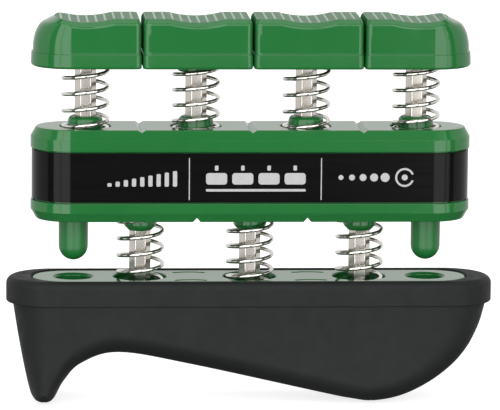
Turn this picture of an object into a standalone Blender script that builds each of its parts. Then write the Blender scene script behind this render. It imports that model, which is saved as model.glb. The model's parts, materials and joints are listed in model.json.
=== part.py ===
"""Finger exerciser: four sprung finger keys over a sprung housing, over a rubber palm grip.

Units are metres, with sizes written in millimetres times MM. +X runs along the row of keys, -Y is the front
and +Z is up. The origin is on the surface that the grip stands on, under the middle of the object.
"""

import math

import bmesh
import bpy
from mathutils import Matrix, Vector

MM = 0.001

# The grid that every part shares.
PITCH = 22.0 * MM
FINGER_X = tuple((step - 1.5) * PITCH for step in range(4))
PALM_X = tuple((step - 1) * PITCH for step in range(3))
PIN_X = 35.3 * MM

# How far a key and the housing can be pressed, which are also the limits of their joints.
KEY_TRAVEL = 8.5 * MM
HOUSING_TRAVEL = 10.0 * MM

# Clearances: REST parts pieces that touch, SLIDE is round a sliding post and FIT round a pressed one.
REST = 0.3 * MM
SLIDE = 0.12 * MM
FIT = 0.05 * MM

# Round detail, in steps.
CORNER_STEPS = 6
SMALL_CORNER_STEPS = 2
TURN_STEPS = 16
WIDE_TURN_STEPS = 24
COIL_STEPS = 10

# Hexagonal posts and the retaining washers that are pressed on their inner ends.
POST_FLATS = 3.8 * MM
POST_EDGE = 0.22 * MM
RETAINER_R = 3.5 * MM
RETAINER_T = 0.7 * MM

# Springs.
WIRE_R = 0.4 * MM
COIL_R = 4.45 * MM
CLOSED_RISE = 2.12 * WIRE_R
FINGER_COIL_PITCH = 3.25 * MM
PALM_COIL_PITCH = 3.2 * MM
# Height at which each coil first crosses its own front, above the seat.
FINGER_COIL_FRONT = tuple(z * MM for z in (55.6, 57.1, 55.65, 56.8))
PALM_COIL_FRONT = tuple(z * MM for z in (26.4, 25.65, 27.5))

# Housing, in two shells with a label band round the joint.
HOUSING_HALF = 43.9 * MM
HOUSING_R = 8.0 * MM
HOUSING_BOTTOM = 36.9 * MM
HOUSING_TOP = 55.3 * MM
LABEL_BOTTOM = 40.7 * MM
LABEL_TOP = 51.1 * MM
SHELL_SPLIT = 46.0 * MM
SHELL_SETBACK = 0.8 * MM
SHELL_WALL = 2.2 * MM
ROOF_UNDER = 52.0 * MM
FLOOR_OVER = 39.6 * MM
RIM_IN = 1.07 * MM
RIM_UP = 1.76 * MM
LABEL_SETBACK = 0.23 * MM
LABEL_T = 0.27 * MM
NOTCH_DEPTH = 0.8 * MM
NOTCH_CUTTER_SIDE = 3.0 * MM
TOP_BOSS_R = 3.5 * MM
TOP_BOSS_TOP = 57.4 * MM
SEAT_R = 5.5 * MM
SEAT_FLOOR = 53.8 * MM
LOW_BOSS_R = 3.4 * MM
LOW_BOSS_TIP_R = 2.4 * MM
LOW_BOSS_BOTTOM = 34.3 * MM
LOW_SEAT_R = 5.4 * MM
LOW_SEAT_ROOF = 38.4 * MM
GUIDE_PIN_R = 2.85 * MM
GUIDE_PIN_BOTTOM = 28.3 * MM
PEG_X = 39.7 * MM
PEG_R = 1.1 * MM
PEG_BOTTOM = 41.9 * MM
SOCKET_R = 2.1 * MM
SOCKET_TOP = 45.2 * MM
SOCKET_FLOOR = 41.4 * MM

# Finger keys.
KEY_BOTTOM = 67.5 * MM
KEY_SKIRT_TOP = 70.4 * MM
KEY_TOP = 77.4 * MM
KEY_GAP = 0.5 * MM
KEY_HALF_DEPTH = 8.0 * MM
KEY_CORNER_R = 1.0 * MM
SKIRT_PROUD = 0.35 * MM
SKIRT_EDGE = 0.5 * MM
KEY_EDGE = 1.1 * MM
KEY_EDGE_DROP = 0.8 * MM
SHOULDER_LENGTH = 5.3 * MM
SHOULDER_POWER = 2.4
SHOULDER_STEPS = 5
DIP_WIDTH = 10.8 * MM
DIP_DEPTH = 0.72 * MM
DIP_STEPS = 80
KEY_WALL = 1.9 * MM
KEY_END_WALL = 3.6 * MM
KEY_CEILING = 74.3 * MM
KEY_BOSS_R = 3.7 * MM
KEY_SOCKET_TOP = 74.1 * MM
# How far each key's inner boss reaches below the skirt.
KEY_BOSS_DROP = tuple(drop * MM for drop in (-0.7, 1.2, -0.7, -0.7))

# Palm plate.
PLATE_HALF = 43.5 * MM
PLATE_R = 7.0 * MM
PLATE_TOP = 24.9 * MM
PLATE_UNDER = 21.8 * MM
PLATE_EDGE = 0.3 * MM
CORE_HALF = 41.0 * MM
CORE_R = 6.6 * MM
CORE_BOTTOM = 13.5 * MM
PIN_HOLE_R = 3.9 * MM
PIN_HOLE_FLOOR = 17.0 * MM
PIN_HOLE_CHAMFER = 0.5 * MM
POCKET_R = 5.45 * MM
POCKET_FLOOR = 21.0 * MM
PALM_SOCKET_FLOOR = 15.2 * MM
# Each slot is an arc, bowed to the back, round a point on the plate's top.
SLOT_X = 12.0 * MM
SLOT_CENTRE_Y = (-11.8 * MM, -2.9 * MM)
SLOT_R = 7.3 * MM
SLOT_WIDTH = 0.6 * MM
SLOT_DEPTH = 1.8 * MM
SLOT_HALF_ANGLE = 26
SLOT_STEPS = 4

# Palm grip.
LIP_HALF = 48.7 * MM
LIP_R = 9.2 * MM
LIP_BOTTOM = 20.5 * MM
LIP_TOP = 25.1 * MM
LIP_ROUND = 1.5 * MM
BODY_R = 8.2 * MM
BODY_TOP = 21.5 * MM
UNDERSIDE_STEPS = 4
EDGE_STEPS = 4
# How far in from the body's sides the rounding of its long edges reaches, at least.
EDGE_WIDTH = 6.6 * MM
# The side view of the underside, from the left end under the lip, round the toe, over the arch and the belly.
# Each point is its place along the bar, its height, and how deep the rounding of the long edges is there.
UNDERSIDE = tuple(
    (x * MM, z * MM, edge_depth * MM)
    for x, z, edge_depth in (
        (-47.6, 21.5, 8.2),
        (-46.2, 12.8, 7.4),
        (-44.4, 3.9, 3.6),
        (-43.3, 0.9, 2.3),
        (-41.8, 0.0, 2.2),
        (-40.6, 0.0, 2.2),
        (-39.1, 0.9, 2.3),
        (-37.1, 4.4, 3.0),
        (-33.6, 7.9, 4.0),
        (-26.2, 10.0, 4.5),
        (-11.7, 7.5, 4.5),
        (13.8, 1.8, 4.4),
        (20.2, 0.5, 4.2),
        (25.0, 0.0, 4.2),
        (31.0, 1.2, 4.6),
        (37.2, 4.4, 5.2),
        (42.3, 8.9, 6.0),
        (45.9, 14.8, 7.4),
        (47.9, 21.5, 8.2),
    )
)

# Posts, from end to end. Fully pressed, their inner ends stay clear of the housing's floor and roof.
FLOOR_CLEARANCE = 2.0 * MM
ROOF_CLEARANCE = 0.7 * MM
FINGER_POST = (FLOOR_OVER + KEY_TRAVEL + FLOOR_CLEARANCE, 73.8 * MM)
PALM_POST = (15.5 * MM, ROOF_UNDER - HOUSING_TRAVEL - ROOF_CLEARANCE)

GREEN = (0.022, 0.216, 0.045)
RUBBER = (0.031, 0.033, 0.034)
LABEL_BLACK = (0.009, 0.009, 0.009)
NICKEL = (0.66, 0.63, 0.58)


# ---- Scene and mesh helpers ----


def clear_scene():
    for obj in list(bpy.data.objects):
        bpy.data.objects.remove(obj)


def new_collection(name):
    collection = bpy.data.collections.new(name)
    bpy.context.scene.collection.children.link(collection)
    return collection


def close_mesh(bm, name):
    """Makes a mesh of bm, with doubled points merged and its faces pointing out."""
    bmesh.ops.remove_doubles(bm, verts=bm.verts, dist=0.001 * MM)
    bmesh.ops.recalc_face_normals(bm, faces=bm.faces)
    mesh = bpy.data.meshes.new(name)
    bm.to_mesh(mesh)
    bm.free()
    return mesh


def cylinder(name, radius, low, high, steps=TURN_STEPS):
    bm = bmesh.new()
    place = Matrix.Translation((0.0, 0.0, (low + high) / 2))
    bmesh.ops.create_cone(
        bm, cap_ends=True, segments=steps, radius1=radius, radius2=radius, depth=high - low, matrix=place
    )
    return close_mesh(bm, name)


def hexagon(name, flats, low, high, edge=0.0):
    """A hexagonal bar with flats to the front and back, its long edges rounded by edge."""
    bm = bmesh.new()
    corner_r = flats / math.sqrt(3)
    place = Matrix.Translation((0.0, 0.0, (low + high) / 2)) @ Matrix.Rotation(math.pi / 6, 4, "Z")
    bmesh.ops.create_cone(
        bm, cap_ends=True, segments=6, radius1=corner_r, radius2=corner_r, depth=high - low, matrix=place
    )
    if edge:
        upright = [e for e in bm.edges if abs(e.verts[0].co.z - e.verts[1].co.z) > (high - low) / 2]
        bmesh.ops.bevel(bm, geom=upright, offset=edge, segments=1, affect="EDGES")
    return close_mesh(bm, name)


def corner_outline(left, right, half_depth, left_r, right_r):
    """A rectangle from left to right with round corners, anticlockwise from its front left corner."""
    corners = (
        (left + left_r, left_r - half_depth, left_r, 180),
        (right - right_r, right_r - half_depth, right_r, 270),
        (right - right_r, half_depth - right_r, right_r, 0),
        (left + left_r, half_depth - left_r, left_r, 90),
    )
    points = []
    for x, y, radius, start in corners:
        steps = CORNER_STEPS if radius > half_depth / 2 else SMALL_CORNER_STEPS
        for step in range(steps + 1):
            angle = math.radians(start + 90 * step / steps)
            points.append((x + radius * math.cos(angle), y + radius * math.sin(angle)))
    return points


def stadium(half_length, radius):
    return corner_outline(-half_length, half_length, radius, radius, radius)


def loft(name, sections):
    """A solid through flat sections that have equal numbers of points, each a height and an outline."""
    bm = bmesh.new()
    rings = [[bm.verts.new((x, y, z)) for x, y in outline] for z, outline in sections]
    count = len(rings[0])
    for low, high in zip(rings, rings[1:]):
        for here in range(count):
            there = (here + 1) % count
            bm.faces.new((low[here], low[there], high[there], high[here]))
    bm.faces.new(rings[0])
    bm.faces.new(rings[-1])
    return close_mesh(bm, name)


def stadium_loft(name, half_length, radius, levels):
    """A solid of stadium sections, each level a height and how far the outline is set back there."""
    return loft(name, [(z, stadium(half_length - back, radius - back)) for z, back in levels])


def smooth_through(points, steps):
    """Points on a Catmull-Rom curve through the given points, steps to each span."""
    found = []
    for here in range(len(points) - 1):
        before = Vector(points[max(here - 1, 0)])
        start = Vector(points[here])
        end = Vector(points[here + 1])
        after = Vector(points[min(here + 2, len(points) - 1)])
        for step in range(steps):
            t = step / steps
            found.append(
                start
                + (end - before) * (t / 2)
                + (2 * before - 5 * start + 4 * end - after) * (t * t / 2)
                + (3 * start - before - 3 * end + after) * (t * t * t / 2)
            )
    found.append(Vector(points[-1]))
    return found


def arc(centre, radius, start, end, steps):
    """Points on an arc from start to end, in degrees."""
    angles = [math.radians(start + (end - start) * step / steps) for step in range(steps + 1)]
    return [(centre[0] + radius * math.cos(a), centre[1] + radius * math.sin(a)) for a in angles]


# ---- Objects ----


def add_helper(name, mesh, x=0.0):
    """A cutter, or a shape to be joined to a part."""
    obj = bpy.data.objects.new(name, mesh)
    obj.location = (x, 0.0, 0.0)
    obj.hide_render = True
    obj.display_type = "WIRE"
    helpers.objects.link(obj)
    return obj


def add_turned(name, profile, x=0.0):
    """A helper turned from a profile of radius and height, listed from the top down."""
    mesh = bpy.data.meshes.new(name)
    edges = [(step, step + 1) for step in range(len(profile) - 1)]
    mesh.from_pydata([(radius, 0.0, z) for radius, z in profile], edges, [])
    obj = add_helper(name, mesh, x)
    screw = obj.modifiers.new("turn", "SCREW")
    screw.steps = TURN_STEPS
    screw.render_steps = TURN_STEPS
    screw.use_merge_vertices = True
    screw.merge_threshold = 0.001 * MM
    return obj


def add_part(name, data, frame, x=0.0):
    """A part whose mesh or curve stands at x, carried by the empty that its body moves with."""
    obj = bpy.data.objects.new(name, data)
    parts.objects.link(obj)
    obj.parent = frame
    obj.location = Vector((x, 0.0, 0.0)) - frame.location
    return obj


def add_frame(name, location):
    """An empty on a joint's axis, which carries the parts that move with it."""
    frame = bpy.data.objects.new(name, None)
    frame.location = location
    frame.empty_display_size = 5 * MM
    parts.objects.link(frame)
    return frame


def combine(obj, operation, other):
    modifier = obj.modifiers.new(other.name, "BOOLEAN")
    modifier.operation = operation
    modifier.object = other


def finish(obj, colour, roughness, metallic=0.0, smooth_angle=35):
    """Gives a part its own material and smooth shading."""
    material = bpy.data.materials.new(obj.name)
    material.use_nodes = True
    shader = material.node_tree.nodes["Principled BSDF"]
    shader.inputs["Base Color"].default_value = (*colour, 1.0)
    shader.inputs["Roughness"].default_value = roughness
    shader.inputs["Metallic"].default_value = metallic
    obj.data.materials.append(material)
    if obj.type == "MESH":
        obj.data.shade_smooth()
        obj.data.set_sharp_from_angle(angle=math.radians(smooth_angle))


# ---- Finger keys ----


def key_extent(index):
    """A key's left and right end, and the corner radius at each."""
    left = FINGER_X[index] - (PITCH - KEY_GAP) / 2
    right = FINGER_X[index] + (PITCH - KEY_GAP) / 2
    if index == 0:
        return -HOUSING_HALF, right, KEY_HALF_DEPTH, KEY_CORNER_R
    if index == len(FINGER_X) - 1:
        return left, HOUSING_HALF, KEY_CORNER_R, KEY_HALF_DEPTH
    return left, right, KEY_CORNER_R, KEY_CORNER_R


def shoulder(z):
    """How far an end key's outer end is drawn in at this height, on a quarter of a full ellipse."""
    up = min(max(z - KEY_SKIRT_TOP, 0.0) / (KEY_TOP - KEY_SKIRT_TOP), 1.0)
    return SHOULDER_LENGTH * (1 - (1 - up**SHOULDER_POWER) ** (1 / SHOULDER_POWER))


def key_section(index, z, back):
    """The key's outline at a height, set back all round."""
    left, right, left_r, right_r = key_extent(index)
    inset_left = back + (shoulder(z) if index == 0 else 0.0)
    inset_right = back + (shoulder(z) if index == len(FINGER_X) - 1 else 0.0)
    outline = corner_outline(
        left + inset_left,
        right - inset_right,
        KEY_HALF_DEPTH - back,
        left_r - back * left_r / KEY_HALF_DEPTH,
        right_r - back * right_r / KEY_HALF_DEPTH,
    )
    return z, outline


def key_body(index):
    levels = [
        (KEY_BOTTOM, SKIRT_EDGE),
        (KEY_BOTTOM + SKIRT_EDGE, 0.0),
        (KEY_SKIRT_TOP, 0.0),
        (KEY_SKIRT_TOP, SKIRT_PROUD),
    ]
    rise = KEY_TOP - KEY_EDGE_DROP - KEY_SKIRT_TOP
    for step in range(1, SHOULDER_STEPS + 1):
        up = math.sin(math.pi / 2 * step / SHOULDER_STEPS)
        levels.append((KEY_SKIRT_TOP + rise * up, SKIRT_PROUD))
    levels.append((KEY_TOP - KEY_EDGE_DROP * 0.4, SKIRT_PROUD + KEY_EDGE * 0.4))
    levels.append((KEY_TOP, SKIRT_PROUD + KEY_EDGE))
    return loft(f"finger_key_{index + 1}", [key_section(index, z, back) for z, back in levels])


def key_cavity(index):
    left, right, left_r, right_r = key_extent(index)
    left_wall = KEY_END_WALL if index == 0 else KEY_WALL
    right_wall = KEY_END_WALL if index == len(FINGER_X) - 1 else KEY_WALL
    outline = corner_outline(
        left + left_wall,
        right - right_wall,
        KEY_HALF_DEPTH - KEY_WALL,
        max(left_r - KEY_WALL, KEY_CORNER_R),
        max(right_r - KEY_WALL, KEY_CORNER_R),
    )
    return loft("key_cavity", [(KEY_BOTTOM - MM, outline), (KEY_CEILING, outline)])


def dip_cutter(index):
    """A long cylinder across the key that presses the finger dip into its top."""
    radius = DIP_WIDTH**2 / (8 * DIP_DEPTH) + DIP_DEPTH / 2
    bm = bmesh.new()
    place = Matrix.Translation((0.0, 0.0, KEY_TOP - DIP_DEPTH + radius)) @ Matrix.Rotation(math.pi / 2, 4, "X")
    bmesh.ops.create_cone(
        bm,
        cap_ends=True,
        segments=DIP_STEPS,
        radius1=radius,
        radius2=radius,
        depth=3 * KEY_HALF_DEPTH,
        matrix=place,
    )
    return add_helper(f"dip_{index + 1}", close_mesh(bm, "dip"), FINGER_X[index])


def build_finger(index):
    """One key with its post, retaining washer and spring."""
    number = index + 1
    x = FINGER_X[index]
    frame = add_frame(f"finger_frame_{number}", (x, 0.0, KEY_BOTTOM))

    key = add_part(f"finger_key_{number}", key_body(index), frame)
    boss_low = KEY_BOTTOM - KEY_BOSS_DROP[index]
    combine(key, "DIFFERENCE", dip_cutter(index))
    combine(key, "DIFFERENCE", add_helper(f"key_cavity_{number}", key_cavity(index)))
    boss = cylinder("key_boss", KEY_BOSS_R, boss_low, KEY_CEILING + KEY_WALL / 2)
    combine(key, "UNION", add_helper(f"key_boss_{number}", boss, x))
    socket = hexagon("key_socket", POST_FLATS + 2 * FIT, boss_low - MM, KEY_SOCKET_TOP)
    combine(key, "DIFFERENCE", add_helper(f"key_socket_{number}", socket, x))
    finish(key, GREEN, 0.3)

    add_post(f"finger_post_{number}", FINGER_POST, frame, x)
    washer_top = ROOF_UNDER - REST
    add_retainer(f"finger_post_retainer_{number}", washer_top - RETAINER_T, frame, x)


# ---- Posts, retaining washers and springs ----


def add_post(name, ends, frame, x):
    post = add_part(name, hexagon(name, POST_FLATS, *ends, edge=POST_EDGE), frame, x)
    finish(post, NICKEL, 0.25, 1.0, smooth_angle=20)


def add_retainer(name, low, frame, x):
    washer = add_part(name, cylinder(name, RETAINER_R, low, low + RETAINER_T), frame, x)
    hole = hexagon("retainer_hole", POST_FLATS + 2 * FIT, low - MM, low + RETAINER_T + MM)
    combine(washer, "DIFFERENCE", add_helper(f"{name}_hole", hole, x))
    finish(washer, NICKEL, 0.35, 1.0)


def coil_points(low, high, front, pitch):
    """The wire's middle line: one closed turn at each end, and open turns that cross the front at a height."""
    turn_low = (low + CLOSED_RISE - front) / pitch
    turn_high = (high - CLOSED_RISE - front) / pitch
    steps = math.ceil((turn_high - turn_low + 2) * COIL_STEPS)
    points = []
    for step in range(steps + 1):
        turn = min(turn_low - 1 + step / COIL_STEPS, turn_high + 1)
        z = front + pitch * turn
        if turn < turn_low:
            z = low + CLOSED_RISE * (turn - turn_low + 1)
        if turn > turn_high:
            z = high - CLOSED_RISE * (turn_high + 1 - turn)
        angle = 2 * math.pi * turn - math.pi / 2
        points.append((COIL_R * math.cos(angle), COIL_R * math.sin(angle), z))
    return points


def add_spring(name, low, high, front, pitch, frame, x):
    """A coil spring between the heights of two seats."""
    curve = bpy.data.curves.new(name, "CURVE")
    curve.dimensions = "3D"
    curve.bevel_depth = WIRE_R
    curve.bevel_resolution = 1
    curve.use_fill_caps = True
    gap = WIRE_R + REST
    points = coil_points(low + gap, high - gap, front, pitch)
    spline = curve.splines.new("POLY")
    spline.points.add(len(points) - 1)
    for point, place in zip(spline.points, points):
        point.co = (*place, 1.0)
    finish(add_part(name, curve, frame, x), NICKEL, 0.2, 1.0)


# ---- Housing ----


def notch_cutter(name, x, z, inward):
    """A square bar on edge, which cuts a V-shaped groove across the housing's surface at z."""
    middle = z + inward * (NOTCH_DEPTH - NOTCH_CUTTER_SIDE / math.sqrt(2))
    place = Matrix.Translation((0.0, 0.0, middle)) @ Matrix.Rotation(math.pi / 4, 4, "Y")
    size = Matrix.Diagonal((NOTCH_CUTTER_SIDE, 4 * HOUSING_R, NOTCH_CUTTER_SIDE, 1.0))
    bm = bmesh.new()
    bmesh.ops.create_cube(bm, size=1.0, matrix=place @ size)
    return add_helper(name, close_mesh(bm, name), x)


def build_upper_shell(frame):
    outside = stadium_loft(
        "housing_upper_shell",
        HOUSING_HALF,
        HOUSING_R,
        (
            (SHELL_SPLIT + REST / 2, SHELL_SETBACK),
            (LABEL_TOP, SHELL_SETBACK),
            (LABEL_TOP, 0.0),
            (HOUSING_TOP - RIM_UP, 0.0),
            (HOUSING_TOP - RIM_UP * 0.4, RIM_IN * 0.3),
            (HOUSING_TOP, RIM_IN),
        ),
    )
    shell = add_part("housing_upper_shell", outside, frame)
    inside = stadium_loft(
        "upper_cavity",
        HOUSING_HALF - SHELL_WALL,
        HOUSING_R - SHELL_WALL,
        ((SHELL_SPLIT - MM, 0.0), (ROOF_UNDER, 0.0)),
    )
    combine(shell, "DIFFERENCE", add_helper("upper_cavity", inside))
    for step, x in enumerate(PALM_X):
        combine(shell, "DIFFERENCE", notch_cutter(f"top_notch_{step + 1}", x, HOUSING_TOP, -1))
    for side, name in ((-1, "left"), (1, "right")):
        peg = cylinder("peg", PEG_R, PEG_BOTTOM, ROOF_UNDER + MM / 2)
        combine(shell, "UNION", add_helper(f"peg_{name}", peg, side * PEG_X))
    boss_profile = (
        (0.0, TOP_BOSS_TOP),
        (TOP_BOSS_R * 0.78, TOP_BOSS_TOP),
        (TOP_BOSS_R * 0.94, TOP_BOSS_TOP - 0.35 * MM),
        (TOP_BOSS_R, TOP_BOSS_TOP - 0.9 * MM),
        (TOP_BOSS_R, SEAT_FLOOR - MM),
        (0.0, SEAT_FLOOR - MM),
    )
    for step, x in enumerate(FINGER_X):
        number = step + 1
        seat = cylinder("seat", SEAT_R, SEAT_FLOOR, HOUSING_TOP + MM, WIDE_TURN_STEPS)
        combine(shell, "DIFFERENCE", add_helper(f"seat_{number}", seat, x))
        combine(shell, "UNION", add_turned(f"top_boss_{number}", boss_profile, x))
        guide = hexagon("guide", POST_FLATS + 2 * SLIDE, ROOF_UNDER - MM, TOP_BOSS_TOP + MM)
        combine(shell, "DIFFERENCE", add_helper(f"top_guide_{number}", guide, x))
    finish(shell, GREEN, 0.32)


def build_lower_shell(frame):
    outside = stadium_loft(
        "housing_lower_shell",
        HOUSING_HALF,
        HOUSING_R,
        (
            (HOUSING_BOTTOM, RIM_IN),
            (HOUSING_BOTTOM + RIM_UP * 0.4, RIM_IN * 0.3),
            (HOUSING_BOTTOM + RIM_UP, 0.0),
            (LABEL_BOTTOM, 0.0),
            (LABEL_BOTTOM, SHELL_SETBACK),
            (SHELL_SPLIT - REST / 2, SHELL_SETBACK),
        ),
    )
    shell = add_part("housing_lower_shell", outside, frame)
    inside = stadium_loft(
        "lower_cavity",
        HOUSING_HALF - SHELL_WALL,
        HOUSING_R - SHELL_WALL,
        ((FLOOR_OVER, 0.0), (SHELL_SPLIT + MM, 0.0)),
    )
    combine(shell, "DIFFERENCE", add_helper("lower_cavity", inside))
    for step, x in enumerate(FINGER_X[1:3]):
        combine(shell, "DIFFERENCE", notch_cutter(f"low_notch_{step + 1}", x, HOUSING_BOTTOM, 1))
    pin_tip = arc((0.0, GUIDE_PIN_BOTTOM + GUIDE_PIN_R), GUIDE_PIN_R, 0, -90, CORNER_STEPS)
    pin_profile = [(0.0, FLOOR_OVER - MM), (GUIDE_PIN_R, FLOOR_OVER - MM), *pin_tip[:-1], (0.0, GUIDE_PIN_BOTTOM)]
    for side, name in ((-1, "left"), (1, "right")):
        combine(shell, "UNION", add_turned(f"guide_pin_{name}", pin_profile, side * PIN_X))
        socket = cylinder("socket", SOCKET_R, FLOOR_OVER - MM, SOCKET_TOP)
        combine(shell, "UNION", add_helper(f"peg_socket_{name}", socket, side * PEG_X))
        hole = cylinder("socket_hole", PEG_R + SLIDE, SOCKET_FLOOR, SOCKET_TOP + MM)
        combine(shell, "DIFFERENCE", add_helper(f"peg_hole_{name}", hole, side * PEG_X))
    boss_profile = (
        (0.0, FLOOR_OVER - MM),
        (LOW_BOSS_R, FLOOR_OVER - MM),
        (LOW_BOSS_R, HOUSING_BOTTOM - 0.9 * MM),
        (LOW_BOSS_R * 0.94, HOUSING_BOTTOM - 1.6 * MM),
        (LOW_BOSS_TIP_R * 1.16, LOW_BOSS_BOTTOM + 0.25 * MM),
        (LOW_BOSS_TIP_R, LOW_BOSS_BOTTOM),
        (0.0, LOW_BOSS_BOTTOM),
    )
    for step, x in enumerate(PALM_X):
        seat = cylinder("seat", LOW_SEAT_R, HOUSING_BOTTOM - MM, LOW_SEAT_ROOF, WIDE_TURN_STEPS)
        combine(shell, "DIFFERENCE", add_helper(f"low_seat_{step + 1}", seat, x))
        combine(shell, "UNION", add_turned(f"low_boss_{step + 1}", boss_profile, x))
        guide = hexagon("guide", POST_FLATS + 2 * SLIDE, LOW_BOSS_BOTTOM - MM, FLOOR_OVER + MM)
        combine(shell, "DIFFERENCE", add_helper(f"low_guide_{step + 1}", guide, x))
    finish(shell, GREEN, 0.32)


def build_label_band(frame):
    ends = (LABEL_BOTTOM + REST, LABEL_TOP - REST)
    outside = stadium_loft(
        "label_band", HOUSING_HALF, HOUSING_R, [(z, LABEL_SETBACK) for z in ends]
    )
    band = add_part("label_band", outside, frame)
    inside = stadium_loft(
        "label_inside",
        HOUSING_HALF,
        HOUSING_R,
        ((ends[0] - MM, LABEL_SETBACK + LABEL_T), (ends[1] + MM, LABEL_SETBACK + LABEL_T)),
    )
    combine(band, "DIFFERENCE", add_helper("label_inside", inside))
    finish(band, LABEL_BLACK, 0.3)


def build_housing():
    frame = add_frame("housing_frame", (0.0, 0.0, HOUSING_BOTTOM))
    build_upper_shell(frame)
    build_lower_shell(frame)
    build_label_band(frame)
    for index, x in enumerate(FINGER_X):
        name = f"finger_spring_{index + 1}"
        front = FINGER_COIL_FRONT[index]
        add_spring(name, SEAT_FLOOR, KEY_CEILING, front, FINGER_COIL_PITCH, frame, x)


# ---- Palm bar ----


def slot_cutter(centre_y):
    outline = []
    for radius, turn in ((SLOT_R - SLOT_WIDTH / 2, -1), (SLOT_R + SLOT_WIDTH / 2, 1)):
        ends = (90 - turn * SLOT_HALF_ANGLE, 90 + turn * SLOT_HALF_ANGLE)
        outline += arc((0.0, centre_y), radius, *ends, SLOT_STEPS)
    return loft("slot", [(PLATE_TOP - SLOT_DEPTH, outline), (PLATE_TOP + MM, outline)])


def build_plate(frame):
    """The plate in the top of the grip, with a core below it that holds the posts."""
    core = stadium_loft("plate_core", CORE_HALF, CORE_R, ((CORE_BOTTOM, 0.0), (PLATE_UNDER + MM, 0.0)))
    flange = stadium_loft(
        "palm_plate",
        PLATE_HALF,
        PLATE_R,
        ((PLATE_UNDER, 0.0), (PLATE_TOP - PLATE_EDGE, 0.0), (PLATE_TOP, PLATE_EDGE)),
    )
    plate = add_part("palm_plate", flange, frame)
    combine(plate, "UNION", add_helper("plate_core", core))
    hole_profile = (
        (0.0, PLATE_TOP + MM),
        (PIN_HOLE_R + PIN_HOLE_CHAMFER + MM, PLATE_TOP + MM),
        (PIN_HOLE_R, PLATE_TOP - PIN_HOLE_CHAMFER),
        (PIN_HOLE_R, PIN_HOLE_FLOOR),
        (0.0, PIN_HOLE_FLOOR),
    )
    for side, name in ((-1, "left"), (1, "right")):
        combine(plate, "DIFFERENCE", add_turned(f"pin_hole_{name}", hole_profile, side * PIN_X))
        for centre_y, row_name in zip(SLOT_CENTRE_Y, ("front", "back")):
            slot = add_helper(f"slot_{name}_{row_name}", slot_cutter(centre_y), side * SLOT_X)
            combine(plate, "DIFFERENCE", slot)
    for step, x in enumerate(PALM_X):
        pocket = cylinder("pocket", POCKET_R, POCKET_FLOOR, PLATE_TOP + MM, WIDE_TURN_STEPS)
        combine(plate, "DIFFERENCE", add_helper(f"pocket_{step + 1}", pocket, x))
        socket = hexagon("socket", POST_FLATS + 2 * FIT, PALM_SOCKET_FLOOR, POCKET_FLOOR + MM)
        combine(plate, "DIFFERENCE", add_helper(f"palm_socket_{step + 1}", socket, x))
    finish(plate, GREEN, 0.25)


def grip_body():
    """The grip below its lip: a ribbon along the underside, curled up round each long edge into a flat side."""
    line = smooth_through(UNDERSIDE, UNDERSIDE_STEPS)
    bm = bmesh.new()
    rows = []
    for here, point in enumerate(line):
        along = line[min(here + 1, len(line) - 1)] - line[max(here - 1, 0)]
        inward = Vector((-along.y, along.x)).normalized()
        edge_depth = point.z
        edge_width = max(EDGE_WIDTH, edge_depth)
        row = []
        for side in (-1, 1):
            for step in range(EDGE_STEPS + 1):
                turn = math.pi / 2 * (step if side > 0 else EDGE_STEPS - step) / EDGE_STEPS
                rise = inward * edge_depth * (1 - math.cos(turn))
                y = side * (BODY_R - edge_width + edge_width * math.sin(turn))
                z = min(max(point.y, 0.0) + rise.y, BODY_TOP)
                row.append(bm.verts.new((point.x + rise.x, y, z)))
        rows.append(row)
    for row, after in zip(rows, rows[1:]):
        for left, right, far_left, far_right in zip(row, row[1:], after, after[1:]):
            bm.faces.new((left, right, far_right, far_left))
    bm.faces.new([row[0] for row in rows])
    bm.faces.new([row[-1] for row in rows])
    bm.faces.new(rows[0] + rows[-1][::-1])
    return close_mesh(bm, "palm_grip")


def build_grip(frame):
    """The rubber grip: its body with the lip joined on and the plate's pocket cut out."""
    grip = add_part("palm_grip", grip_body(), frame)
    lip = stadium_loft(
        "lip",
        LIP_HALF,
        LIP_R,
        (
            (LIP_BOTTOM, 0.0),
            (LIP_TOP - LIP_ROUND, 0.0),
            (LIP_TOP - LIP_ROUND * 0.5, LIP_ROUND * 0.134),
            (LIP_TOP - LIP_ROUND * 0.134, LIP_ROUND * 0.5),
            (LIP_TOP, LIP_ROUND),
        ),
    )
    combine(grip, "UNION", add_helper("lip", lip))
    plate_pocket = stadium_loft(
        "plate_pocket", PLATE_HALF + REST, PLATE_R + REST, ((PLATE_UNDER - REST, 0.0), (LIP_TOP + MM, 0.0))
    )
    combine(grip, "DIFFERENCE", add_helper("plate_pocket", plate_pocket))
    core_pocket = stadium_loft(
        "core_pocket", CORE_HALF + REST, CORE_R + REST, ((CORE_BOTTOM - REST, 0.0), (PLATE_UNDER, 0.0))
    )
    combine(grip, "DIFFERENCE", add_helper("core_pocket", core_pocket))
    finish(grip, RUBBER, 0.6)


def build_palm_bar():
    frame = add_frame("palm_frame", (0.0, 0.0, 0.0))
    build_plate(frame)
    build_grip(frame)
    for index, x in enumerate(PALM_X):
        number = index + 1
        add_post(f"palm_post_{number}", PALM_POST, frame, x)
        add_retainer(f"palm_post_retainer_{number}", FLOOR_OVER + REST, frame, x)
        name = f"palm_spring_{number}"
        front = PALM_COIL_FRONT[index]
        add_spring(name, POCKET_FLOOR, LOW_SEAT_ROOF, front, PALM_COIL_PITCH, frame, x)


clear_scene()
parts = new_collection("finger_exerciser")
helpers = new_collection("cutters")
helpers.hide_render = True
for finger in range(len(FINGER_X)):
    build_finger(finger)
build_housing()
build_palm_bar()
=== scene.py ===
"""Finger exerciser: the looks of its parts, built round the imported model, with a studio to show it in.

Lengths are metres, written in millimetres times MM.
+X runs along the row of keys, -Y is the front, +Z is up.
"""

import json
import math

import bmesh
import bpy
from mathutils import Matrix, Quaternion, Vector

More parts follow.
